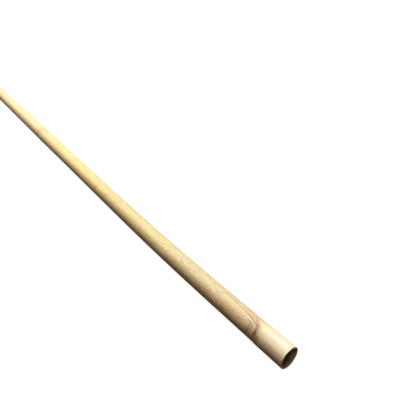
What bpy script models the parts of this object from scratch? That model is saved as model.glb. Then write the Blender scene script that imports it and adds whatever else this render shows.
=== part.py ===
"""A dry bamboo cane lying on the ground: one hollow stem with three node rings.

Metres, +Z up, ground at z = 0. The stem runs along X, with its thick cut end (the butt) at +X.
Distances called "along" are measured from the butt cut towards the thin end.
Angles called "turn" go round the stem from its top towards -Y, in degrees.
"""

import math

import bpy
import numpy as np

# Size of the whole stem
LENGTH = 0.900
BUTT_RADIUS = 0.0080
TIP_RADIUS = 0.0072
WALL_AT_BUTT = 0.0014
WALL_AT_TIP = 0.0011

# The node rings and the buds that sit on them, which change sides from one node to the next
NODES = (0.0262, 0.4286, 0.8240)
BUD_TURN = 14.0
BUD_HEIGHT = 0.00030
BUD_WIDTH = 28.0
BUD_SPREAD = 0.0030

# The swelling at each node: highest a little before the node, and drawn out towards the butt
RIDGE_HEIGHT = 0.00028
RIDGE_BEFORE_NODE = 0.0050
RIDGE_CREST = 0.0010
RIDGE_BUTT_SIDE = 0.0450
RIDGE_TIP_SIDE = 0.0040

# The shallow flute that each bud pressed into the stem above it
FLUTE_DEPTH = 0.00034
FLUTE_HALF_WIDTH = 21.0
FLUTE_STARTS = 0.0035
FLUTE_LENGTH = 0.150

# Each length between nodes is a little slimmer at its middle
WAIST = 0.00006

# Just past the second node the stem grows a little thicker, over a few millimetres
THICKER_FROM = 0.4305
THICKER_BY = 0.00032
THICKER_OVER = 0.0030

# The stem bends once, between the first two nodes, and a little near the last node
BENDS = ((0.141, 2.24, 0.032), (0.6912, 0.35, 0.010))

# How far each saw cut leans, in degrees: sideways towards -Y and upwards
BUTT_CUT_LEAN = (3.3, 0.6)
TIP_CUT_LEAN = (0.0, 0.0)

# The wall across the inside at each node, with the small hole through it
DIAPHRAGM = 0.0018
DIAPHRAGM_HOLE_RADIUS = 0.0008
CORNER = 0.0034

# How finely the surface is divided
SIDES = 36
NEAR_NODE = (-0.0120, -0.0058, -0.0042, -0.0025, -0.0008, 0.0008, 0.0030, 0.0055, 0.0090, 0.0140)
LONGEST_STEP = 0.026
CORNER_STEPS = 4

# Each ring's lowest place is rubbed flat by this much where it lies on the ground
RUBBED_FLAT = 0.00002

COLOUR = (0.80, 0.66, 0.40, 1.0)


def clear_scene():
    for thing in list(bpy.data.objects):
        bpy.data.objects.remove(thing, do_unlink=True)


def lateral_angle(along):
    """Heading of the stem in plan, in degrees from -X towards +Y, before it is squared up to X."""
    return sum(turn / (1 + np.exp(-(along - where) / width)) for where, turn, width in BENDS)


def centre_line():
    """Samples of the centre line in plan: along, x, y and heading, with both ends on the X axis."""
    along = np.linspace(0, LENGTH, 1801)
    heading = np.radians(lateral_angle(along))
    step = np.diff(along)
    middle = (heading[1:] + heading[:-1]) / 2
    x = np.concatenate([[0], np.cumsum(-np.cos(middle) * step)])
    y = np.concatenate([[0], np.cumsum(np.sin(middle) * step)])
    skew = math.atan2(y[-1], -x[-1])
    heading = heading - skew
    squared_x = x * math.cos(skew) - y * math.sin(skew)
    squared_y = x * math.sin(skew) + y * math.cos(skew)
    return along, squared_x + LENGTH / 2, squared_y, heading


LINE = centre_line()


def plain_radius(along):
    """Half the thickness without nodes: an even taper, with one step up past the second node."""
    thicker = THICKER_BY / (1 + np.exp(-(along - THICKER_FROM) / THICKER_OVER))
    return BUTT_RADIUS + (TIP_RADIUS - BUTT_RADIUS) * along / LENGTH + thicker


def wall(along):
    return WALL_AT_BUTT + (WALL_AT_TIP - WALL_AT_BUTT) * along / LENGTH


def axis_height(along):
    """Height of the centre line, such that every node ring just reaches the ground."""
    return plain_radius(along) + RIDGE_HEIGHT - RUBBED_FLAT


def angle_between(turn, other):
    return (turn - other + 180) % 360 - 180


def bud_turn(index):
    return BUD_TURN + 180 * (index % 2)


def waist(along):
    """How far the skin draws in at this distance along."""
    stops = [NODES[0] - (NODES[1] - NODES[0]), *NODES, NODES[-1] + (NODES[-1] - NODES[-2])]
    for low, high in zip(stops, stops[1:]):
        if low <= along <= high:
            return WAIST * math.sin(math.pi * (along - low) / (high - low)) ** 2
    return 0.0


def ridge(index, along, turn):
    """Height of a node above the plain stem: a swelling with a level crest, and the bud."""
    past = along - NODES[index]
    past_crest = past + RIDGE_BEFORE_NODE
    spread = RIDGE_TIP_SIDE if past_crest > 0 else RIDGE_BUTT_SIDE
    swell = RIDGE_HEIGHT * math.exp(-((max(abs(past_crest) - RIDGE_CREST, 0) / spread) ** 2))
    off = angle_between(turn, bud_turn(index))
    bud = BUD_HEIGHT * math.exp(-((off / BUD_WIDTH) ** 2) - (past / BUD_SPREAD) ** 2)
    return swell + bud


def flute(index, along, turn):
    """Depth of the flute that runs from a bud towards the thin end and dies out on the way."""
    past = along - NODES[index]
    off = abs(angle_between(turn, bud_turn(index)))
    if not 0 < past < FLUTE_LENGTH or off >= FLUTE_HALF_WIDTH:
        return 0.0
    begins = 1 - math.exp(-((past / FLUTE_STARTS) ** 2) / 4)
    hollow = math.cos(math.pi / 2 * off / FLUTE_HALF_WIDTH) ** 2
    return FLUTE_DEPTH * begins * (1 - past / FLUTE_LENGTH) * hollow


def skin_radius(along, turn):
    radius = plain_radius(along) - waist(along)
    for index in range(len(NODES)):
        radius += ridge(index, along, turn) - flute(index, along, turn)
    return radius


def place(along, turn, radius):
    """The world point at this distance along, this turn and this distance from the centre line."""
    x = np.interp(along, LINE[0], LINE[1])
    y = np.interp(along, LINE[0], LINE[2])
    heading = np.interp(along, LINE[0], LINE[3])
    sideways = -radius * math.sin(math.radians(turn))
    up = radius * math.cos(math.radians(turn))
    return np.array(
        [
            x + sideways * math.sin(heading),
            y + sideways * math.cos(heading),
            axis_height(along) + up,
        ]
    )


def saw_off(point, along):
    """Slides a point of an end ring along the stem until it is on that end's cut."""
    lean = BUTT_CUT_LEAN if along < LENGTH / 2 else TIP_CUT_LEAN
    facing = np.array([1.0, math.tan(math.radians(lean[0])), math.tan(math.radians(lean[1]))])
    heading = np.interp(along, LINE[0], LINE[3])
    stem = np.array([-math.cos(heading), math.sin(heading), 0.0])
    middle = place(along, 0.0, 0.0)
    middle[0] = math.copysign(LENGTH / 2, middle[0])
    return point + stem * (facing @ (middle - point)) / (facing @ stem)


def turns():
    return [(k + 0.5) * 360 / SIDES for k in range(SIDES)]


def ring(along, radius_at):
    """One ring of points. The flats between them touch the round that they stand for."""
    widen = 1 / math.cos(math.pi / SIDES)
    points = [place(along, turn, widen * radius_at(along, turn)) for turn in turns()]
    if along in (0.0, LENGTH):
        points = [saw_off(point, along) for point in points]
    for point in points:
        point[2] = max(point[2], 0.0)
    return points


def skin_stations():
    """Distances along at which the skin has a ring: close together at the nodes."""
    near = sorted(node + step for node in NODES for step in NEAR_NODE)
    marks = [0.0, *near, LENGTH]
    stations = [0.0]
    for low, high in zip(marks, marks[1:]):
        count = max(1, math.ceil((high - low) / LONGEST_STEP))
        stations += [low + (high - low) * (k + 1) / count for k in range(count)]
    return stations


def lining_rings():
    """(along, radius) pairs from the thin end back to the butt, in and out of every node's wall."""

    def open_radius(along):
        return plain_radius(along) - waist(along) - wall(along)

    def corner(face, side):
        """From the open stem to the hole's edge, where side is +1 beyond the wall and -1 before it."""
        steps = []
        for k in range(CORNER_STEPS + 1):
            bend = math.pi / 2 * k / CORNER_STEPS
            along = face + side * CORNER * (1 - math.sin(bend))
            steps.append((along, open_radius(along) - CORNER * (1 - math.cos(bend))))
        steps.append((face, DIAPHRAGM_HOLE_RADIUS))
        return steps

    rings = [(LENGTH, open_radius(LENGTH))]
    far = LENGTH
    for node in reversed(NODES):
        beyond, before = node + DIAPHRAGM / 2, node - DIAPHRAGM / 2
        half = (far + beyond) / 2
        rings.append((half, open_radius(half)))
        rings += corner(beyond, 1)
        rings += list(reversed(corner(before, -1)))
        far = before
    rings.append((0.0, open_radius(0.0)))
    return rings


def build_cane():
    rings = [ring(along, skin_radius) for along in skin_stations()]
    rings += [ring(along, lambda a, t, r=radius: r) for along, radius in lining_rings()]
    points = [tuple(point) for one in rings for point in one]
    faces = []
    for n in range(len(rings)):
        here, after = n * SIDES, (n + 1) % len(rings) * SIDES
        for k in range(SIDES):
            step = (k + 1) % SIDES
            faces.append((here + k, after + k, after + step, here + step))
    mesh = bpy.data.meshes.new("cane")
    mesh.from_pydata(points, [], faces)
    mesh.validate()
    mesh.update()
    cane = bpy.data.objects.new("cane", mesh)
    bpy.context.scene.collection.objects.link(cane)
    return cane


def centre_on_origin(cane):
    """Moves the mesh so that its box is centred on the origin in plan."""
    points = np.array([vertex.co for vertex in cane.data.vertices])
    middle = (points.min(axis=0) + points.max(axis=0)) / 2
    for vertex in cane.data.vertices:
        vertex.co.x -= middle[0]
        vertex.co.y -= middle[1]


def smooth_round_faces(cane):
    """Shades the stem smooth and keeps the two cut faces flat."""
    rings = len(cane.data.vertices) // SIDES
    cut_faces = (len(skin_stations()) - 1, rings - 1)
    for face in cane.data.polygons:
        face.use_smooth = face.index // SIDES not in cut_faces


def give_material(cane):
    straw = bpy.data.materials.new("cane")
    straw.use_nodes = True
    shader = straw.node_tree.nodes["Principled BSDF"]
    shader.inputs["Base Color"].default_value = COLOUR
    shader.inputs["Roughness"].default_value = 0.42
    cane.data.materials.append(straw)


clear_scene()
stem = build_cane()
centre_on_origin(stem)
smooth_round_faces(stem)
give_material(stem)
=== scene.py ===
"""A dry bamboo cane on a pale floor: fine mesh, procedural materials, light and camera."""

import math

import bpy
import numpy as np
from mathutils import Euler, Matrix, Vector


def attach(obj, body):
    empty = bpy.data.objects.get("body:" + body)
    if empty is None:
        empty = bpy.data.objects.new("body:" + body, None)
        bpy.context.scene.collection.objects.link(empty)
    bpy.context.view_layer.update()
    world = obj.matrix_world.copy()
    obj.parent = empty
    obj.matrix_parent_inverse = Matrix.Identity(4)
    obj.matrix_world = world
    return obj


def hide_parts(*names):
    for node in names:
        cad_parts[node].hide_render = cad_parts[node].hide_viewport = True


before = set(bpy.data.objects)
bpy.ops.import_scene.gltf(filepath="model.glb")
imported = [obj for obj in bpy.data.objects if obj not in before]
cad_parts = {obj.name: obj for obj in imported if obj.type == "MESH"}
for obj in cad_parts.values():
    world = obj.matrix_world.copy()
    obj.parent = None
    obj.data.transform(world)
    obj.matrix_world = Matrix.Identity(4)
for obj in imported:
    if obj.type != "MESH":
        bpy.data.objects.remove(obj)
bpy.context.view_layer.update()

# The stem, as in the solid model, in metres and degrees
# "Along" runs from the butt cut to the thin end, and "turn" goes from the top towards -Y
LENGTH = 0.900
BUTT_RADIUS = 0.0080
TIP_RADIUS = 0.0072
WALL_AT_BUTT = 0.0014
WALL_AT_TIP = 0.0011
NODES = (0.0262, 0.4286, 0.8240)
BUD_TURN = 14.0
BUD_HEIGHT = 0.00030
BUD_WIDTH = 28.0
BUD_SPREAD = 0.0030
RIDGE_HEIGHT = 0.00028
RIDGE_BEFORE_NODE = 0.0050
RIDGE_CREST = 0.0010
RIDGE_BUTT_SIDE = 0.0450
RIDGE_TIP_SIDE = 0.0040
FLUTE_DEPTH = 0.00034
FLUTE_HALF_WIDTH = 21.0
FLUTE_STARTS = 0.0035
FLUTE_LENGTH = 0.150
WAIST = 0.00006
THICKER_FROM = 0.4305
THICKER_BY = 0.00032
THICKER_OVER = 0.0030
BENDS = ((0.141, 2.24, 0.032), (0.6912, 0.35, 0.010))
BUTT_CUT_LEAN = (3.3, 0.6)
TIP_CUT_LEAN = (0.0, 0.0)
DIAPHRAGM = 0.0018
DIAPHRAGM_HOLE_RADIUS = 0.0008
CORNER = 0.0034
RUBBED_FLAT = 0.00002

# How finely the mesh is divided
LINE_SAMPLES = 1801
SIDES = 144
FINEST_STEP = 0.00030
LONGEST_STEP = 0.0030
STEP_GROWTH = 0.12
FINE_AT_END = 0.0004
FINE_AT_NICK = 0.001
FINE_BEFORE_NODE = 0.003
FINE_PAST_NODE = 0.007
CORNER_STEPS = 8
DIAPHRAGM_STEPS = 3
LINING_STEP = 0.030
FEWEST_LINING_STEPS = 4
BUTT_LINING_STEPS = 13

# The two cuts: how far in their lean reaches, the worn outer edge, the sharper inner edge
LEAN_BLEND = 0.006
ROUNDED_EDGE = 0.00024
ROUNDED_STEPS = 5
SAWN_EDGE = 0.00008
CUT_RINGS = 7
CUT_MARGIN = 1.05
# Saw marks on the cut: height in metres, times round, and how they change towards the middle
SAW_MARKS = ((12e-6, 31), (9e-6, 53))
SAW_CHANGE = 9

# Slow swells of the skin: height in metres, times round, change along, phase
SWELLS = ((26e-6, 2, 9, 0.6), (14e-6, 3, -17, 2.0))
RIPPLE = 8e-6
SWELLS_SINK = 40e-6

# Where each node's scar runs: degrees past the bud, millimetres towards the thin end
SCAR_PATH = (
    (-180, 0.0), (-150, 0.2), (-110, 1.2), (-70, 3.4), (-40, 5.2), (-22, 5.0), (-9, 2.3), (1, 1.0),
    (13, -0.4), (32, -0.9), (49, -0.7), (66, -0.5), (120, -0.2), (180, 0.0),
)
# How strong the scar is at those degrees
SCAR_STRENGTH = (
    (-180, 0.25), (-80, 0.25), (-30, 0.4), (-8, 0.65), (10, 0.9), (30, 0.5), (48, 0.25), (75, 0.12),
    (110, 0.25), (180, 0.25),
)
# Relief of the scar and of the lip before it: height in metres, half width and place in millimetres
SCAR_GROOVE = (90e-6, 0.42)
SCAR_LIP = (45e-6, 0.55, 0.9)
# The wrinkles past the scar: place in millimetres, depth in metres
WRINKLE_DEPTHS = ((1.5, 30e-6), (2.9, 24e-6), (4.4, 14e-6))
WRINKLE_HALF_WIDTH = 0.40
# The scar's small wandering, in millimetres, each part with its times round
JITTER = ((0.25, 9), (0.15, 23))
# The bud's scale: place past the node, half sizes in millimetres, degrees past the bud
SCALE_PLACE = (1.0, 6.0)
SCALE_SIZE = (1.5, 1.9)
# Its dome and the groove round it: height in metres, half width as a share of its size
SCALE_DOME = (120e-6, 0.75)
SCALE_GROOVE = (90e-6, 0.22)

# The two edges of the flute: millimetres past the node, degrees past the bud
UPPER_EDGE = (
    (1.5, 5.5), (5.5, -4.5), (10.7, -11.8), (21.2, -18.6), (37.8, -21.6), (55.5, -21.0),
    (67.8, -15.3), (80.8, -13.1), (95.0, -12.0),
)
UPPER_EDGE_STRENGTH = ((0, 0), (1, 1.0), (14, 1.0), (30, 0.8), (55, 0.65), (75, 0.4), (100, 0))
LOWER_EDGE = ((1.5, 5.5), (4.5, 11.0), (10.3, 13.4), (16.4, 12.0), (24.8, 13.0), (45.0, 15.0))
LOWER_EDGE_STRENGTH = ((0, 0), (1, 1.0), (5, 1.0), (9, 0.5), (25, 0.4), (42, 0))
EDGES_END = 100
EDGE_GROOVE = (34e-6, 0.42)

# The small nick, with its half sizes along and round the stem
NICK_ALONG = 0.2585
NICK_TURN = 52.0
NICK_HALF_ALONG = 0.00060
NICK_HALF_ROUND = 0.0014
NICK_DEPTH = 0.00012
NICK_SLANT = 0.25
# Stains: along, turn, half size in metres, strength
STAINS = (
    (0.0225, 68.0, 0.0019, 1.2), (0.0262, 13.0, 0.0016, 1.2), (0.0287, 0.0, 0.0010, 0.8),
    (0.0302, -7.0, 0.0009, 0.7), (0.0827, 57.6, 0.0018, 0.9), (0.0560, 62.0, 0.0020, 0.7),
    (0.4270, 20.0, 0.0050, 0.6),
)
# How strong the smudge, the pale ridge and the mottling are at each node
NODE_MARKS = (1.0, 0.45, 0.6)
# Where those lie: millimetres past the scar and half width, degrees past the bud and half width
SMUDGE = ((0.1, 1.10), (38, 24))
PALE_RIDGE = ((1.9, 0.65), (38, 27))
# The mottling starts and ends at these millimetres past the scar, each over the next number
MOTTLING_STARTS = (-3.4, 2.4)
MOTTLING_ENDS = (11, 7)
MOTTLING_ROUND = (44, 36)
# The brown band past the scar: degrees past the bud, half width
BAND_ROUND = (20, 60)

MM_PER_METRE = 1000


def lateral_angle(along):
    return sum(turn / (1 + np.exp(-(along - where) / width)) for where, turn, width in BENDS)


def centre_line():
    """Samples of the centre line in plan: along, x, y and heading, with both ends on the X axis."""
    along = np.linspace(0, LENGTH, LINE_SAMPLES)
    heading = np.radians(lateral_angle(along))
    step = np.diff(along)
    middle = (heading[1:] + heading[:-1]) / 2
    x = np.concatenate([[0], np.cumsum(-np.cos(middle) * step)])
    y = np.concatenate([[0], np.cumsum(np.sin(middle) * step)])
    skew = math.atan2(y[-1], -x[-1])
    heading = heading - skew
    squared_x = x * math.cos(skew) - y * math.sin(skew)
    squared_y = x * math.sin(skew) + y * math.cos(skew)
    return along, squared_x + LENGTH / 2, squared_y, heading


LINE = centre_line()


def plain_radius(along):
    thicker = THICKER_BY / (1 + np.exp(-(along - THICKER_FROM) / THICKER_OVER))
    return BUTT_RADIUS + (TIP_RADIUS - BUTT_RADIUS) * along / LENGTH + thicker


def wall(along):
    return WALL_AT_BUTT + (WALL_AT_TIP - WALL_AT_BUTT) * along / LENGTH


def axis_height(along):
    return plain_radius(along) + RIDGE_HEIGHT - RUBBED_FLAT


def angle_between(turn, other):
    return (turn - other + 180) % 360 - 180


def bud_turn(index):
    return BUD_TURN + 180 * (index % 2)


def past_bud(index, turn):
    """Degrees from the bud, counted the other way on every second node."""
    return angle_between(turn, bud_turn(index)) * (-1 if index % 2 else 1)


def table(pairs, value):
    stops, results = zip(*pairs)
    return np.interp(value, stops, results)


def bump(value, width):
    return np.exp(-((value / width) ** 2))


def waist(along):
    stops = [NODES[0] - (NODES[1] - NODES[0]), *NODES, NODES[-1] + (NODES[-1] - NODES[-2])]
    drawn = np.zeros_like(along)
    for low, high in zip(stops, stops[1:]):
        inside = (along >= low) & (along <= high)
        drawn = np.where(inside, WAIST * np.sin(np.pi * (along - low) / (high - low)) ** 2, drawn)
    return drawn


def ridge(index, along, turn):
    past = along - NODES[index]
    past_crest = past + RIDGE_BEFORE_NODE
    spread = np.where(past_crest > 0, RIDGE_TIP_SIDE, RIDGE_BUTT_SIDE)
    swell = RIDGE_HEIGHT * np.exp(-((np.maximum(abs(past_crest) - RIDGE_CREST, 0) / spread) ** 2))
    bud = BUD_HEIGHT * bump(angle_between(turn, bud_turn(index)), BUD_WIDTH) * bump(past, BUD_SPREAD)
    return swell + bud


def flute(index, along, turn):
    past = along - NODES[index]
    off = abs(angle_between(turn, bud_turn(index)))
    inside = (past > 0) & (past < FLUTE_LENGTH) & (off < FLUTE_HALF_WIDTH)
    begins = 1 - np.exp(-((past / FLUTE_STARTS) ** 2) / 4)
    hollow = np.cos(np.pi / 2 * np.minimum(off / FLUTE_HALF_WIDTH, 1)) ** 2
    return np.where(inside, FLUTE_DEPTH * begins * (1 - past / FLUTE_LENGTH) * hollow, 0.0)


def past_node(index, along):
    """Millimetres past the node, towards the thin end."""
    return (along - NODES[index]) * MM_PER_METRE


def round_stem(degrees, along):
    """Millimetres round the stem, for an angle in degrees."""
    return np.radians(degrees) * plain_radius(along) * MM_PER_METRE


def scar_distance(index, along, turn):
    """Millimetres past the node's scar, towards the thin end."""
    return past_node(index, along) - table(SCAR_PATH, past_bud(index, turn))


def edge_distance(edge, index, along, turn):
    """Millimetres round the stem from one edge of the flute, towards -Y."""
    off = angle_between(past_bud(index, turn), table(edge, past_node(index, along)))
    return round_stem(off, along)


def edge_strength(strengths, past_mm):
    return table(strengths, past_mm) * ((past_mm > 0) & (past_mm < EDGES_END))


def nick_share(along, turn):
    """1 at the middle of the nick, falling to 0 round it."""
    aside = np.radians(angle_between(turn, NICK_TURN)) * plain_radius(along)
    slanted = along - NICK_ALONG - aside * NICK_SLANT
    return bump(slanted, NICK_HALF_ALONG) * bump(aside, NICK_HALF_ROUND)


def wavy(along, turn):
    """Slow swells that keep the stem from being perfectly round."""
    angle = np.radians(turn)
    swell = sum(
        height * np.cos(times * angle + change * along + phase) for height, times, change, phase in SWELLS
    )
    swell += RIPPLE * np.cos(5 * angle + 41 * along) * np.cos(60 * along + angle)
    return swell - SWELLS_SINK


def fine_relief(along, turn):
    """The scar, its wrinkles, the bud's scale and the nick, on top of the main shape."""
    relief = wavy(along, turn)
    angle = np.radians(turn)
    (slow, slow_times), (quick, quick_times) = JITTER
    for index in range(len(NODES)):
        off = past_bud(index, turn)
        strength = table(SCAR_STRENGTH, off)
        past = scar_distance(index, along, turn)
        jitter = slow * np.sin(angle * slow_times + index) + quick * np.sin(angle * quick_times)
        relief -= SCAR_GROOVE[0] * strength * bump(past + jitter, SCAR_GROOVE[1])
        relief += SCAR_LIP[0] * strength * bump(past + jitter + SCAR_LIP[2], SCAR_LIP[1])
        for k, (place_mm, depth) in enumerate(WRINKLE_DEPTHS):
            broken = 0.5 + 0.5 * np.sin(angle * (7 + 3 * k) + 2 * k + index)
            wrinkle = bump(past + 0.6 * jitter - place_mm, WRINKLE_HALF_WIDTH)
            relief -= depth * strength * broken * wrinkle
        scale_along = (past_node(index, along) - SCALE_PLACE[0]) / SCALE_SIZE[0]
        scale_round = round_stem(off - SCALE_PLACE[1], along) / SCALE_SIZE[1]
        spot = np.sqrt(scale_along**2 + scale_round**2)
        relief += SCALE_DOME[0] * bump(spot, SCALE_DOME[1])
        relief -= SCALE_GROOVE[0] * bump(spot - 1.0, SCALE_GROOVE[1])
        for edge, strengths in ((UPPER_EDGE, UPPER_EDGE_STRENGTH), (LOWER_EDGE, LOWER_EDGE_STRENGTH)):
            fade = edge_strength(strengths, past_node(index, along))
            distance = edge_distance(edge, index, along, turn)
            relief -= EDGE_GROOVE[0] * fade * bump(distance, EDGE_GROOVE[1])
    return relief - NICK_DEPTH * nick_share(along, turn)


def skin_radius(along, turn):
    radius = plain_radius(along) - waist(along)
    for index in range(len(NODES)):
        radius = radius + ridge(index, along, turn) - flute(index, along, turn)
    return radius + fine_relief(along, turn)


def place(along, turn, radius):
    """World points for arrays of distances along, turns and radii, a little past the ends too."""
    heading = np.interp(along, LINE[0], LINE[3])
    past_end = along - np.clip(along, 0.0, LENGTH)
    x = np.interp(along, LINE[0], LINE[1]) - past_end * np.cos(heading)
    y = np.interp(along, LINE[0], LINE[2]) + past_end * np.sin(heading)
    sideways = -radius * np.sin(np.radians(turn))
    up = radius * np.cos(np.radians(turn))
    return np.stack(
        [x + sideways * np.sin(heading), y + sideways * np.cos(heading), axis_height(along) + up], axis=-1
    )


def lean_offset(end, turn, radius):
    """How far along the stem the cut lies from the square section, at this turn and radius."""
    lean = BUTT_CUT_LEAN if end == 0 else TIP_CUT_LEAN
    facing = np.array([1.0, math.tan(math.radians(lean[0])), math.tan(math.radians(lean[1]))])
    heading = np.interp(end, LINE[0], LINE[3])
    stem = np.array([-math.cos(heading), math.sin(heading), 0.0])
    point = place(np.full_like(turn, end), turn, radius)
    middle = place(np.array(end), np.array(0.0), np.array(0.0))
    return (middle - point) @ facing / (facing @ stem)


def fitted_along(along, turn, radius):
    """Distances along that follow the leaning cut close to either end."""
    butt = lean_offset(0.0, turn, radius) * max(0.0, 1 - along / LEAN_BLEND)
    tip = lean_offset(LENGTH, turn, radius) * max(0.0, 1 - (LENGTH - along) / LEAN_BLEND)
    return along + butt + tip


def skin_stations():
    """Distances along at which the skin has a ring: closest at the ends, the nodes and the nick."""
    first, last = ROUNDED_EDGE, LENGTH - ROUNDED_EDGE
    busy = [(0.0, FINE_AT_END), (LENGTH - FINE_AT_END, LENGTH)]
    busy += [(NICK_ALONG - FINE_AT_NICK, NICK_ALONG + FINE_AT_NICK)]
    busy += [(node - FINE_BEFORE_NODE, node + FINE_PAST_NODE) for node in NODES]
    stations = [first]
    while stations[-1] < last:
        here = stations[-1]
        away = min(max(low - here, here - high, 0.0) for low, high in busy)
        stations.append(here + min(FINEST_STEP + STEP_GROWTH * away, LONGEST_STEP))
    scale = (last - first) / (stations[-1] - first)
    return [first + (one - first) * scale for one in stations]


def open_radius(along):
    """Radius of the hollow away from the nodes."""
    return float(plain_radius(along) - waist(np.array(along)) - wall(along))


def diaphragm_side(face, side):
    """From the open stem to the hole's edge, where side is +1 beyond a node's wall and -1 before it."""
    steps = []
    for k in range(CORNER_STEPS + 1):
        bend = math.pi / 2 * k / CORNER_STEPS
        along = face + side * CORNER * (1 - math.sin(bend))
        steps.append((along, open_radius(along) - CORNER * (1 - math.cos(bend))))
    start = steps[-1][1]
    for k in range(1, DIAPHRAGM_STEPS + 1):
        steps.append((face, start + (DIAPHRAGM_HOLE_RADIUS - start) * k / DIAPHRAGM_STEPS))
    return steps


def lining_profile():
    """(along, radius) pairs of the inside, from the thin end back to the butt."""
    profile, far = [], LENGTH - SAWN_EDGE
    for node in reversed(NODES):
        beyond, before = node + DIAPHRAGM / 2, node - DIAPHRAGM / 2
        near = beyond + CORNER
        count = max(FEWEST_LINING_STEPS, math.ceil((far - near) / LINING_STEP))
        stops = [far + (near - far) * k / count for k in range(count)]
        profile += [(stop, open_radius(stop)) for stop in stops]
        profile += diaphragm_side(beyond, 1)
        profile += list(reversed(diaphragm_side(before, -1)))
        far = before - CORNER
    stops = np.linspace(far, SAWN_EDGE, BUTT_LINING_STEPS + 1)[1:]
    profile += [(float(stop), open_radius(float(stop))) for stop in stops]
    return profile


def build_cane():
    """Makes the mesh, and returns its object and the shift that centred it in plan."""
    turns = (np.arange(SIDES) + 0.5) * 360 / SIDES
    points, alongs, kinds = [], [], []

    def add(along, radius, kind):
        points.append(place(along, turns, radius))
        alongs.append(along)
        kinds.append(kind)

    def rounded(end, side, bends):
        """Rings over the worn edge of a cut, where side is +1 at the butt and -1 at the tip."""
        start = end + side * ROUNDED_EDGE
        outer = skin_radius(np.full(SIDES, start), turns)
        for bend in bends:
            radius = outer - ROUNDED_EDGE * (1 - math.cos(bend))
            along = start - side * ROUNDED_EDGE * math.sin(bend)
            add(fitted_along(along, turns, radius), radius, "skin")
        return outer

    def cut(end, outer, inner, order):
        """Rings of the sawn face, numbered from the skin inwards."""
        (coarse, coarse_times), (fine, fine_times) = SAW_MARKS
        angle = np.radians(turns)
        rough = coarse * np.sin(angle * coarse_times + end) + fine * np.sin(angle * fine_times)
        low, high = inner + SAWN_EDGE, outer - ROUNDED_EDGE * CUT_MARGIN
        for k in order:
            radius = high + (low - high) * k / (CUT_RINGS - 1)
            saw = rough * math.cos((k + 0.5) / CUT_RINGS * SAW_CHANGE)
            add(fitted_along(end, turns, radius) + saw, radius, "cut")

    bends = [math.pi / 2 * (k + 1) / ROUNDED_STEPS for k in range(ROUNDED_STEPS)]
    outer_butt = rounded(0.0, 1, bends[::-1])
    for station in skin_stations():
        radius = skin_radius(np.full(SIDES, station), turns)
        add(fitted_along(station, turns, radius), radius, "skin")
    outer_tip = rounded(LENGTH, -1, bends)
    profile = lining_profile()
    cut(LENGTH, outer_tip, profile[0][1], range(CUT_RINGS))
    for along, radius in profile:
        ring = np.full(SIDES, radius)
        add(fitted_along(along, turns, ring), ring, "lining")
    cut(0.0, outer_butt, profile[-1][1], reversed(range(CUT_RINGS)))

    points = np.concatenate(points)
    points[:, 2] = np.maximum(points[:, 2], 0.0)
    middle = (points.min(axis=0) + points.max(axis=0)) / 2
    points[:, :2] -= middle[:2]
    rings = len(alongs)
    faces, slots = [], []
    names = ("skin", "cut", "lining")
    for n in range(rings):
        here, after = n * SIDES, (n + 1) % rings * SIDES
        kind = kinds[n] if kinds[n] == kinds[(n + 1) % rings] else "cut"
        for k in range(SIDES):
            step = (k + 1) % SIDES
            faces.append((here + k, after + k, after + step, here + step))
            slots.append(names.index(kind))
    mesh = bpy.data.meshes.new("bamboo_cane")
    mesh.from_pydata(points.tolist(), [], faces)
    mesh.polygons.foreach_set("material_index", slots)
    mesh.polygons.foreach_set("use_smooth", [True] * len(faces))
    mesh.update()
    cane = bpy.data.objects.new("bamboo_cane", mesh)
    bpy.context.scene.collection.objects.link(cane)
    store_places(mesh, np.concatenate(alongs), np.tile(turns, rings), middle)
    return cane, middle


def nearest_node(along):
    gaps = np.abs(along[:, None] - np.array(NODES)[None, :])
    return gaps.argmin(axis=1)


def node_mark(spot, past_scar, off):
    """1 at the middle of a mark near a node, falling to 0 round it."""
    (at_mm, half_mm), (at_degrees, half_degrees) = spot
    return bump(past_scar - at_mm, half_mm) * bump(off - at_degrees, half_degrees)


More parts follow.
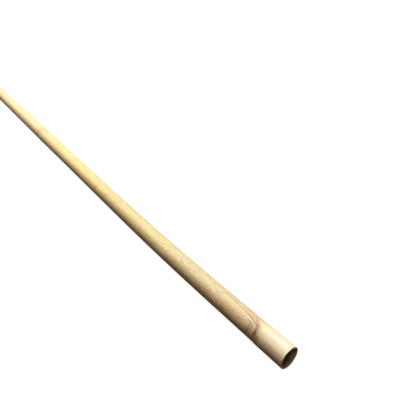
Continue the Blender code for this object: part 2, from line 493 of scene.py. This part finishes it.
def store_places(mesh, along, turn, middle):
    """Keeps with the mesh where each point is on the unbent stem and near which mark."""
    coords = np.empty(len(mesh.vertices) * 3)
    mesh.vertices.foreach_get("co", coords)
    coords = coords.reshape(-1, 3)
    centre_y = np.interp(along, LINE[0], LINE[2]) - middle[1]
    straight = np.column_stack([along, coords[:, 1] - centre_y, coords[:, 2] - axis_height(along)])
    scar, upper, lower, marks = np.zeros((4, len(along), 3))
    nearest = nearest_node(along)
    for index in range(len(NODES)):
        own = nearest == index
        a, t = along[own], turn[own]
        past_mm = past_node(index, a)
        off = past_bud(index, t)
        past_scar, strength = scar_distance(index, a, t), NODE_MARKS[index]
        scar[own, 0] = past_scar
        scar[own, 1] = table(SCAR_STRENGTH, off)
        scar[own, 2] = bump(off - BAND_ROUND[0], BAND_ROUND[1])
        marks[own, 0] = strength * node_mark(SMUDGE, past_scar, off)
        marks[own, 1] = strength * node_mark(PALE_RIDGE, past_scar, off)
        starts = np.clip((past_scar - MOTTLING_STARTS[0]) / MOTTLING_STARTS[1], 0, 1)
        ends = np.clip((MOTTLING_ENDS[0] - past_scar) / MOTTLING_ENDS[1], 0, 1)
        marks[own, 2] = strength * starts * ends * bump(off - MOTTLING_ROUND[0], MOTTLING_ROUND[1])
        upper[own, 0] = edge_distance(UPPER_EDGE, index, a, t)
        upper[own, 1] = edge_strength(UPPER_EDGE_STRENGTH, past_mm)
        lower[own, 0] = edge_distance(LOWER_EDGE, index, a, t)
        lower[own, 1] = edge_strength(LOWER_EDGE_STRENGTH, past_mm)
    for where, at_turn, half, strength in STAINS:
        aside = np.radians(angle_between(turn, at_turn)) * plain_radius(along)
        upper[:, 2] += strength * bump(along - where, half) * bump(aside, half)
    lower[:, 2] = nick_share(along, turn)
    layers = {"straight": straight, "scar": scar, "upper": upper, "lower": lower, "marks": marks}
    for name, values in layers.items():
        layer = mesh.attributes.new(name, "FLOAT_VECTOR", "POINT")
        layer.data.foreach_set("vector", values.astype(np.float32).ravel())


# Materials
def linear(red, green, blue):
    """A colour named by its display values, as the shader wants it."""
    def one(value):
        value /= 255
        return value / 12.92 if value <= 0.04045 else ((value + 0.055) / 1.055) ** 2.4
    return (one(red), one(green), one(blue), 1.0)


class Graph:
    """A little help with building a node tree."""

    def __init__(self, name):
        self.material = bpy.data.materials.new(name)
        self.material.use_nodes = True
        self.tree = self.material.node_tree
        self.shader = self.tree.nodes["Principled BSDF"]

    def add(self, kind, **settings):
        node = self.tree.nodes.new(kind)
        for key, value in settings.items():
            setattr(node, key, value)
        return node

    def put(self, socket, value):
        if isinstance(value, bpy.types.NodeSocket):
            self.tree.links.new(value, socket)
        else:
            socket.default_value = value

    def attribute(self, name):
        return self.add("ShaderNodeAttribute", attribute_name=name).outputs["Vector"]

    def parts(self, vector):
        node = self.add("ShaderNodeSeparateXYZ")
        self.put(node.inputs[0], vector)
        return node.outputs

    def math(self, operation, one, two=0.0, clamp=False):
        node = self.add("ShaderNodeMath", operation=operation, use_clamp=clamp)
        self.put(node.inputs[0], one)
        self.put(node.inputs[1], two)
        return node.outputs[0]

    def times(self, one, two):
        return self.math("MULTIPLY", one, two)

    def scaled(self, vector, scale):
        """A vector multiplied by one scale along the stem and another across it."""
        node = self.add("ShaderNodeVectorMath", operation="MULTIPLY")
        self.put(node.inputs[0], vector)
        node.inputs[1].default_value = (scale[0], scale[1], scale[1])
        return node.outputs[0]

    def noise(self, vector, scale, detail, roughness):
        """Noise stretched by one scale along the stem and another across it, about 0 to 1."""
        node = self.add("ShaderNodeTexNoise")
        self.put(node.inputs["Vector"], self.scaled(vector, scale))
        node.inputs["Scale"].default_value = 1.0
        node.inputs["Detail"].default_value = detail
        node.inputs["Roughness"].default_value = roughness
        return node.outputs[0]

    def patches(self, vector, noise, limits):
        """Noise with those settings, spread over those limits."""
        return self.spread(self.noise(vector, *noise), *limits)

    def spread(self, value, low, high, to_low=0.0, to_high=1.0):
        """Maps low..high to to_low..to_high, smoothly and with limits."""
        node = self.add("ShaderNodeMapRange", interpolation_type="SMOOTHSTEP")
        self.put(node.inputs["Value"], value)
        node.inputs["From Min"].default_value = low
        node.inputs["From Max"].default_value = high
        node.inputs["To Min"].default_value = to_low
        node.inputs["To Max"].default_value = to_high
        return node.outputs["Result"]

    def line(self, distance, width):
        """1 on a line and falling to 0 at about twice its half width."""
        square = self.math("POWER", self.math("DIVIDE", self.math("ABSOLUTE", distance), width), 2.0)
        return self.math("POWER", math.exp(-1), square)

    def mix(self, share, one, two):
        node = self.add("ShaderNodeMix", data_type="RGBA", blend_type="MIX")
        self.put(node.inputs["Factor"], share)
        self.put(node.inputs[6], one)
        self.put(node.inputs[7], two)
        return node.outputs[2]

    def tinted(self, colour, mask, strength, tint):
        """The colour with a tint laid over it, as strong as the mask times the strength."""
        return self.mix(self.times(mask, strength), colour, linear(*tint))

    def bumped(self, height, distance, before=None):
        node = self.add("ShaderNodeBump")
        node.inputs["Strength"].default_value = 1.0
        node.inputs["Distance"].default_value = distance
        self.put(node.inputs["Height"], height)
        if before is not None:
            self.put(node.inputs["Normal"], before)
        return node.outputs["Normal"]


# Tone along the stem: cream at the butt, straw, then yellower, then paler again
TONE_STOPS = (
    (0.000, (255, 243, 214)), (0.022, (255, 242, 211)), (0.034, (234, 209, 166)),
    (0.060, (229, 208, 164)), (0.100, (231, 215, 168)), (0.150, (237, 226, 170)),
    (0.270, (239, 232, 162)), (0.340, (242, 237, 160)), (0.465, (242, 240, 180)),
    (0.500, (243, 242, 190)), (0.650, (243, 243, 196)), (0.900, (238, 226, 172)),
    (1.000, (233, 218, 166)),
)
# Layers of the skin: name, noise scale along and across, detail, roughness,
# then the noise's low and high limits, the greatest share, and the tint
SKIN_LAYERS = (
    ("patches", (14.0, 95.0), 3.0, 0.55, 0.46, 0.72, 0.36, (226, 194, 140)),
    ("pink", (22.0, 150.0), 2.0, 0.5, 0.55, 0.78, 0.25, (240, 204, 164)),
    ("streaks", (9.0, 900.0), 4.0, 0.65, 0.48, 0.78, 0.20, (205, 166, 112)),
    ("fibres", (30.0, 3200.0), 3.0, 0.6, 0.50, 0.80, 0.16, (196, 155, 101)),
    ("pale_fibres", (16.0, 2100.0), 2.0, 0.5, 0.58, 0.80, 0.25, (252, 236, 202)),
)
# Mottling of a few millimetres: noise scale, detail, roughness, then its tints as above,
# for mottle, speckle, yellow and mauve in turn
MOTTLE_LAYERS = (
    ((170.0, 1000.0), 4.0, 0.8, (
        (0.47, 0.70, 0.46, (194, 164, 116)), (0.54, 0.30, 0.60, (255, 249, 214)),
    )),
    ((700.0, 1500.0), 2.0, 0.7, (
        (0.50, 0.72, 0.55, (190, 156, 108)), (0.50, 0.28, 0.45, (255, 248, 210)),
    )),
    ((120.0, 300.0), 2.0, 0.6, ((0.50, 0.74, 0.30, (238, 224, 132)),)),
    ((90.0, 240.0), 2.0, 0.6, ((0.50, 0.74, 0.30, (222, 192, 172)),)),
)
# The pale stub at the butt has less mottling: metres along, share there and share beyond
WEATHERED = (0.016, 0.034, 0.45, 1.0)
# Coloured wrinkles near the scar: millimetres past it, strength
WRINKLE_TINTS = ((1.7, 0.50), (3.1, 0.42), (-1.5, 0.34), (4.6, 0.25))
# Half widths of the coloured lines, in millimetres, and the pale line's place beside the edge
WRINKLE_LINE = 0.30
SCAR_LINE = 0.50
UPPER_EDGE_LINE = 0.52
LOWER_EDGE_LINE = 0.40
PALE_LINE = 0.55
PALE_LINE_PLACE = 1.1
# Where the brown band past the scar rises and falls, in millimetres past the scar
BAND_RISES = (-5.5, -0.5)
BAND_FALLS = (2.0, 13.0, 1.0, 0.0)
# How far, in millimetres, noise moves the scar's lines and the flute's edges
SCAR_WOBBLE = 2.2
EDGE_WOBBLE = 0.8

# Noises of the marks: scale along and across, detail, roughness, and their limits
WOBBLE = ((300.0, 420.0), 3.0, 0.6)
WANDER = ((90.0, 60.0), 2.0, 0.5)
SCAR_GAPS = (((200.0, 700.0), 2.0, 0.6), (0.30, 0.58, 0.35, 1.0))
GRAIN = (((620.0, 330.0), 3.0, 0.7), (0.44, 0.58))
WRINKLE_GAPS = (((380.0, 500.0), 2.0, 0.6), (0.50, 0.66))
STAIN_GAPS = (((500.0, 600.0), 3.0, 0.6), (0.30, 0.65, 0.4, 1.0))
SPECKS = (((700.0, 1300.0), 1.0, 0.5), (0.74, 0.80))

# Strengths and tints of the marks
BAND = (0.42, (204, 168, 124))
SCAR = (0.72, (126, 92, 60))
SMUDGE_TINT = (0.80, (116, 92, 54))
MOTTLING = (0.66, (134, 92, 56))
RIDGE_TINT = (0.75, (246, 224, 186))
WRINKLE_TINT = (142, 104, 70)
EDGE = (0.64, (154, 120, 80))
PALE_LINE_TINT = (0.45, (255, 244, 214))
STAIN = (0.60, (172, 118, 60))
NICK_TINT = (0.95, (72, 48, 32))
SPECK = (0.45, (146, 104, 62))

# Gloss of the skin: limits of the noise and of the roughness, what marks add, and the specular level
SHEEN = (0.3, 0.7, 0.40, 0.52)
MARKS_ROUGHER = 0.25
SKIN_SPECULAR = 0.42

# Depths of the bump layers, in metres, and how far the flute's edges sink next to the scar
STREAK_BUMP = 0.000030
FIBRE_BUMP = 0.000016
MOTTLING_BUMP = 0.00010
MARK_BUMP = 0.00014
EDGE_SINKS = 0.5


def skin_material():
    g = Graph("cane_skin")
    straight = g.attribute("straight")
    along = g.parts(straight)[0]
    scar_mm, scar_strength, scar_side = g.parts(g.attribute("scar"))[:3]
    upper_mm, upper_strength, stain = g.parts(g.attribute("upper"))[:3]
    lower_mm, lower_strength, nick = g.parts(g.attribute("lower"))[:3]
    smudge, pale_ridge, mottled = g.parts(g.attribute("marks"))[:3]

    tone = g.add("ShaderNodeValToRGB")
    g.put(tone.inputs[0], g.math("DIVIDE", along, LENGTH))
    ramp = tone.color_ramp
    while len(ramp.elements) < len(TONE_STOPS):
        ramp.elements.new(0.5)
    for element, (position, tint) in zip(ramp.elements, TONE_STOPS):
        element.position = position
        element.color = linear(*tint)
    colour = tone.outputs[0]

    # Broad patches and long fibre streaks
    noises = {}
    for name, scale, detail, roughness, low, high, share, tint in SKIN_LAYERS:
        noises[name] = g.noise(straight, scale, detail, roughness)
        colour = g.mix(g.spread(noises[name], low, high, 0.0, share), colour, linear(*tint))
    streaks, fibres = noises["streaks"], noises["fibres"]

    # Mottling, weaker on the stub at the butt
    weathered = g.spread(along, *WEATHERED)
    for scale, detail, roughness, tints in MOTTLE_LAYERS:
        mottle = g.noise(straight, scale, detail, roughness)
        for low, high, share, tint in tints:
            patch = g.times(g.spread(mottle, low, high, 0.0, share), weathered)
            colour = g.mix(patch, colour, linear(*tint))

    # The node: a browner band past the scar, the scar itself, and short wrinkles
    wobble = g.noise(straight, *WOBBLE)
    moved = g.math("ADD", scar_mm, g.times(g.math("SUBTRACT", wobble, 0.5), SCAR_WOBBLE))
    band = g.times(g.spread(moved, *BAND_RISES), g.spread(moved, *BAND_FALLS))
    colour = g.tinted(colour, g.times(band, scar_side), *BAND)
    scar_gaps = g.patches(straight, *SCAR_GAPS)
    scar = g.times(g.line(moved, SCAR_LINE), g.times(scar_strength, scar_gaps))
    colour = g.tinted(colour, scar, *SCAR)
    colour = g.tinted(colour, smudge, *SMUDGE_TINT)
    mottling = g.times(mottled, g.patches(straight, *GRAIN))
    colour = g.tinted(colour, mottling, *MOTTLING)
    colour = g.tinted(colour, pale_ridge, *RIDGE_TINT)
    wrinkle_gaps = g.patches(straight, *WRINKLE_GAPS)
    for place_mm, strength in WRINKLE_TINTS:
        wrinkle = g.line(g.math("SUBTRACT", moved, place_mm), WRINKLE_LINE)
        wrinkle = g.times(g.times(wrinkle, wrinkle_gaps), scar_strength)
        colour = g.tinted(colour, wrinkle, strength, WRINKLE_TINT)

    # The flute's two edges, with a pale line beside the upper one
    waver = g.times(g.math("SUBTRACT", g.noise(straight, *WANDER), 0.5), EDGE_WOBBLE)
    upper = g.times(g.line(g.math("ADD", upper_mm, waver), UPPER_EDGE_LINE), upper_strength)
    lower = g.times(g.line(g.math("ADD", lower_mm, waver), LOWER_EDGE_LINE), lower_strength)
    edges = g.math("MAXIMUM", upper, lower)
    colour = g.tinted(colour, edges, *EDGE)
    beside = g.line(g.math("SUBTRACT", upper_mm, PALE_LINE_PLACE), PALE_LINE)
    colour = g.tinted(colour, g.times(beside, upper_strength), *PALE_LINE_TINT)

    # Stains, the nick and scattered specks
    patchy_stain = g.times(stain, g.patches(straight, *STAIN_GAPS))
    stained = g.math("MULTIPLY", patchy_stain, STAIN[0], clamp=True)
    colour = g.mix(stained, colour, linear(*STAIN[1]))
    colour = g.tinted(colour, nick, *NICK_TINT)
    colour = g.tinted(colour, g.patches(straight, *SPECKS), *SPECK)
    g.put(g.shader.inputs["Base Color"], colour)

    # Gloss, duller on the scar and the edges, and the fine relief
    rougher = g.times(g.math("MAXIMUM", scar, edges), MARKS_ROUGHER)
    g.put(g.shader.inputs["Roughness"], g.math("ADD", g.spread(streaks, *SHEEN), rougher))
    g.shader.inputs["Specular IOR Level"].default_value = SKIN_SPECULAR
    fine = g.bumped(fibres, FIBRE_BUMP, g.bumped(streaks, STREAK_BUMP))
    creased = g.bumped(mottling, MOTTLING_BUMP, fine)
    sunken = g.math("MAXIMUM", g.math("MAXIMUM", scar, g.times(edges, EDGE_SINKS)), nick)
    g.put(g.shader.inputs["Normal"], g.bumped(g.times(sunken, -1.0), MARK_BUMP, creased))
    return g.material


# The cut: pale wood in two tones, darker towards the skin, with the ends of the fibre bundles
TONE_LIMITS = (0.35, 0.7)
CUT_TONES = ((206, 186, 158), (178, 154, 126))
CUT_TONE_NOISE = ((100.0, 260.0), 3.0, 0.6)
CUT_RIM = (0.35, (140, 114, 84))
CUT_RIM_RADII = (0.0068, 0.0079)
BUNDLE = (0.55, (112, 80, 50))
BUNDLE_SCALE = (300.0, 2300.0)
BUNDLE_LIMITS = (0.24, 0.44, 1.0, 0.0)
CUT_ROUGHNESS = 0.78
CUT_SPECULAR = 0.25
SAWN_NOISE = ((2500.0, 2500.0), 3.0, 0.6)
SAWN_BUMP = 0.00005
BUNDLE_BUMP = 0.00004


def cut_material():
    g = Graph("cane_cut")
    straight = g.attribute("straight")
    y, z = g.parts(straight)[1:3]
    radius = g.math("SQRT", g.math("ADD", g.math("POWER", y, 2.0), g.math("POWER", z, 2.0)))
    tone = g.patches(straight, CUT_TONE_NOISE, TONE_LIMITS)
    colour = g.mix(tone, linear(*CUT_TONES[0]), linear(*CUT_TONES[1]))
    colour = g.tinted(colour, g.spread(radius, *CUT_RIM_RADII), *CUT_RIM)
    bundles = g.add("ShaderNodeTexVoronoi", feature="F1")
    g.put(bundles.inputs["Vector"], g.scaled(straight, BUNDLE_SCALE))
    bundles.inputs["Scale"].default_value = 1.0
    dots = g.spread(bundles.outputs["Distance"], *BUNDLE_LIMITS)
    colour = g.tinted(colour, dots, *BUNDLE)
    g.put(g.shader.inputs["Base Color"], colour)
    g.shader.inputs["Roughness"].default_value = CUT_ROUGHNESS
    g.shader.inputs["Specular IOR Level"].default_value = CUT_SPECULAR
    sawn = g.bumped(g.noise(straight, *SAWN_NOISE), SAWN_BUMP)
    g.put(g.shader.inputs["Normal"], g.bumped(dots, BUNDLE_BUMP, sawn))
    return g.material


# The lining: pale near the mouth, with painted shade going brown further in and higher up, each in two
# tones
PALE_TONES = ((236, 214, 184), (212, 188, 158))
PAINTED_SHADE_TONES = ((120, 72, 26), (102, 58, 18))
LINING_TONE_NOISE = ((30.0, 200.0), 3.0, 0.6)
# How far in the pale part reaches before the painted shade, in metres, and how that changes sideways and
# upwards
PAINTED_SHADE_LIMITS = (-0.0012, 0.0036)
PAINTED_SHADE_SIDEWAYS = 0.30
PAINTED_SHADE_UPWARDS = 2.4
LINING_FIBRE_BROWN = (84, 54, 26)
LINING_FIBRES = ((25.0, 1500.0), 3.0, 0.6)
LINING_FIBRE_LIMITS = (0.45, 0.75, 0.0, 0.35)
LINING_ROUGHNESS = 0.85
LINING_SPECULAR = 0.1
LINING_BUMP = 0.00006


def lining_material():
    g = Graph("cane_lining")
    straight = g.attribute("straight")
    along, sideways, height = g.parts(straight)[:3]
    tone = g.patches(straight, LINING_TONE_NOISE, TONE_LIMITS)
    pale = g.mix(tone, linear(*PALE_TONES[0]), linear(*PALE_TONES[1]))
    painted_shade = g.mix(tone, linear(*PAINTED_SHADE_TONES[0]), linear(*PAINTED_SHADE_TONES[1]))
    # Painted shade: the lining turns brown deeper in from either end, less so towards +Y and more so
    # higher up
    from_end = g.math("MINIMUM", along, g.math("SUBTRACT", LENGTH, along))
    shade_depth = g.math("SUBTRACT", from_end, g.times(sideways, PAINTED_SHADE_SIDEWAYS))
    shade_depth = g.math("ADD", shade_depth, g.times(g.math("MAXIMUM", height, 0.0), PAINTED_SHADE_UPWARDS))
    colour = g.mix(g.spread(shade_depth, *PAINTED_SHADE_LIMITS), pale, painted_shade)
    fibres = g.noise(straight, *LINING_FIBRES)
    colour = g.mix(g.spread(fibres, *LINING_FIBRE_LIMITS), colour, linear(*LINING_FIBRE_BROWN))
    g.put(g.shader.inputs["Base Color"], colour)
    g.shader.inputs["Roughness"].default_value = LINING_ROUGHNESS
    g.shader.inputs["Specular IOR Level"].default_value = LINING_SPECULAR
    g.put(g.shader.inputs["Normal"], g.bumped(fibres, LINING_BUMP))
    return g.material


cane, box_middle = build_cane()
for material in (skin_material(), cut_material(), lining_material()):
    cane.data.materials.append(material)
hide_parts("cane")
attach(cane, "root")

# Floor and backdrop, which give no bounced light
FLOOR_SIZE = 14.0
FLOOR_GLOW = 0.93
FLOOR_TONE = 0.55
BACKDROP_GLOW = 1.0
BACKDROP_TONE = 0.0
BACKDROP_FOOT = -0.01
PAPER_ROUGHNESS = 0.9


def glow_material(name, glow, tone):
    material = bpy.data.materials.new(name)
    material.use_nodes = True
    shader = material.node_tree.nodes["Principled BSDF"]
    shader.inputs["Base Color"].default_value = (tone, tone, tone, 1.0)
    shader.inputs["Roughness"].default_value = PAPER_ROUGHNESS
    shader.inputs["Specular IOR Level"].default_value = 0.0
    shader.inputs["Emission Color"].default_value = (1.0, 1.0, 1.0, 1.0)
    shader.inputs["Emission Strength"].default_value = glow
    return material


def stage_object(name, points, faces, material):
    mesh = bpy.data.meshes.new(name)
    mesh.from_pydata(points, [], faces)
    mesh.materials.append(material)
    thing = bpy.data.objects.new(name, mesh)
    bpy.context.scene.collection.objects.link(thing)
    thing.visible_diffuse = False
    thing.visible_glossy = False
    return thing


half = FLOOR_SIZE / 2
corners = [(-half, -half), (half, -half), (half, half), (-half, half)]
floor_points = [(x, y, 0) for x, y in corners]
floor_paper = glow_material("floor_paper", FLOOR_GLOW, FLOOR_TONE)
stage_object("floor", floor_points, [(0, 1, 2, 3)], floor_paper)
wall_points = [(x, y, z) for z in (BACKDROP_FOOT, FLOOR_SIZE) for x, y in corners]
wall_faces = [(k, (k + 1) % 4, 4 + (k + 1) % 4, 4 + k) for k in range(4)]
backdrop_paper = glow_material("backdrop_paper", BACKDROP_GLOW, BACKDROP_TONE)
backdrop = stage_object("backdrop", wall_points, wall_faces, backdrop_paper)
backdrop.visible_shadow = False

# Light
WORLD_COLOUR = (1.0, 0.65, 0.45, 1.0)
WORLD_STRENGTH = 0.012
# Name, direction from the stem, distance, size, watts, colour
LIGHTS = (
    ("key", (-0.22, 0.36, 1.00), 2.6, 1.3, 75.0, (0.96, 1.0, 0.94)),
    ("fill", (-0.62, -0.26, 0.72), 1.1, 0.5, 7.6, (1.0, 0.67, 0.54)),
    ("end", (1.0, -0.05, 0.50), 1.5, 0.9, 2.4, (1.0, 0.90, 0.77)),
)

scene = bpy.context.scene
scene.view_settings.view_transform = "Standard"
world = bpy.data.worlds.new("room")
world.use_nodes = True
world.node_tree.nodes["Background"].inputs[0].default_value = WORLD_COLOUR
world.node_tree.nodes["Background"].inputs[1].default_value = WORLD_STRENGTH
scene.world = world


def area_light(name, towards, distance, size, watts, colour):
    """A square light in that direction from the stem, aimed at it."""
    data = bpy.data.lights.new(name, "AREA")
    data.shape = "SQUARE"
    data.size = size
    data.energy = watts
    data.color = colour
    light = bpy.data.objects.new(name, data)
    scene.collection.objects.link(light)
    direction = Vector(towards).normalized()
    light.location = direction * distance
    light.rotation_euler = direction.to_track_quat("Z", "Y").to_euler()


for light_settings in LIGHTS:
    area_light(*light_settings)

# Camera, placed from the middle of the butt cut
CAMERA_FROM_BUTT = (0.11126, -0.15207, 0.23224)
CAMERA_AZIMUTH = 53.562
CAMERA_PITCH = 32.464
CAMERA_LENS = 39.6
CAMERA_SENSOR = 36.0
CAMERA_NEAREST = 0.01
CAMERA_FURTHEST = 60.0

butt = place(np.array(0.0), np.array(0.0), np.array(0.0)) - np.array([box_middle[0], box_middle[1], 0.0])
camera_data = bpy.data.cameras.new("camera")
camera_data.lens = CAMERA_LENS
camera_data.sensor_width = CAMERA_SENSOR
camera_data.clip_start = CAMERA_NEAREST
camera_data.clip_end = CAMERA_FURTHEST
camera = bpy.data.objects.new("camera", camera_data)
scene.collection.objects.link(camera)
camera.location = Vector(butt) + Vector(CAMERA_FROM_BUTT)
camera.rotation_euler = Euler((math.radians(90 - CAMERA_PITCH), 0.0, math.radians(CAMERA_AZIMUTH)))
bpy.context.scene.camera = camera

bpy.context.view_layer.update()
